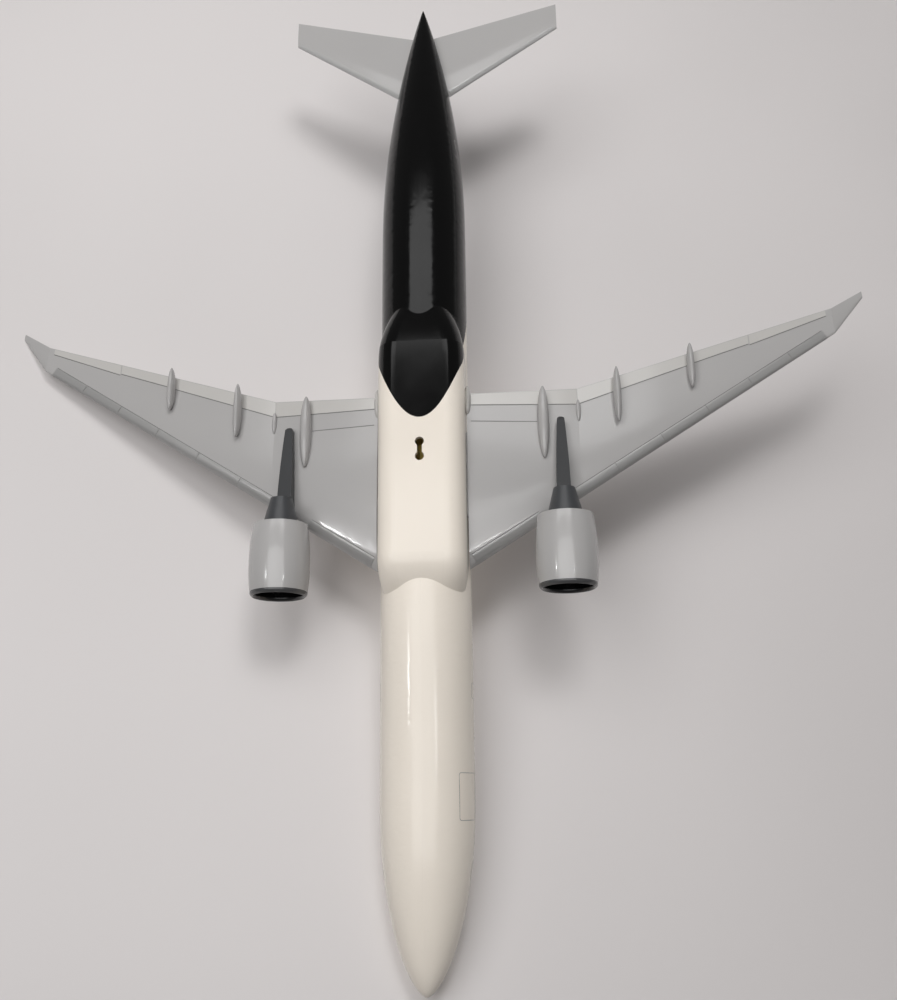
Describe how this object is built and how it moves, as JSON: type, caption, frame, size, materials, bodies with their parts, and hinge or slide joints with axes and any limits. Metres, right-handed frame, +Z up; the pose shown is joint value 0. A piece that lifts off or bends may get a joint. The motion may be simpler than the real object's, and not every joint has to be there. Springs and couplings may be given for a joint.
{
  "type": "desktop airliner model",
  "caption": "Desk model of a long wide-body jet airliner with plug-in swept wings, tailplanes and fin, underwing engines and a belly socket for a display stand.",
  "frame": {"origin": "mouth of the stand socket, midway between its two round ends, on the flat of the belly", "axes": "+Y from nose to tail, +X out along the port wing, +Z up from the belly to the fin"},
  "size_m": [0.3238, 0.3724, 0.0849],
  "materials": {
    "fuselage_paint": "gloss warm white paint, black aft of the wing",
    "tail_paint": "gloss black paint",
    "wing_grey": "semi-gloss light grey paint, silver slats",
    "cowl_grey": "gloss light grey paint",
    "lip_grey": "satin dark grey paint",
    "dark_grey": "satin dark grey moulded plastic",
    "fan_metal": "dull metallic paint",
    "socket_brass": "aged brass",
    "inner_plastic": "unpainted moulded plastic"
  },
  "bodies": {
    "root": {"engine_core_port": "dark_grey", "engine_core_starboard": "dark_grey", "exhaust_plug_port": "dark_grey", "exhaust_plug_starboard": "dark_grey", "fan_cowl_port": "cowl_grey", "fan_cowl_starboard": "cowl_grey", "fan_port": "fan_metal", "fan_starboard": "fan_metal", "fin": "tail_paint", "flap_track_fairing_1_port": "wing_grey", "flap_track_fairing_1_starboard": "wing_grey", "flap_track_fairing_2_port": "wing_grey", "flap_track_fairing_2_starboard": "wing_grey", "flap_track_fairing_3_port": "wing_grey", "flap_track_fairing_3_starboard": "wing_grey", "flap_track_fairing_4_port": "wing_grey", "flap_track_fairing_4_starboard": "wing_grey", "fuselage_shell_port": "fuselage_paint", "fuselage_shell_starboard": "fuselage_paint", "inlet_lip_port": "lip_grey", "inlet_lip_starboard": "lip_grey", "pylon_port": "dark_grey", "pylon_starboard": "dark_grey", "seam_pegs": "inner_plastic", "stand_socket_cup": "socket_brass", "tail_carrier": "inner_plastic", "tailplane_port": "wing_grey", "tailplane_starboard": "wing_grey", "wing_carrier": "inner_plastic", "wing_port": "wing_grey", "wing_starboard": "wing_grey"}
  },
  "joints": []
}
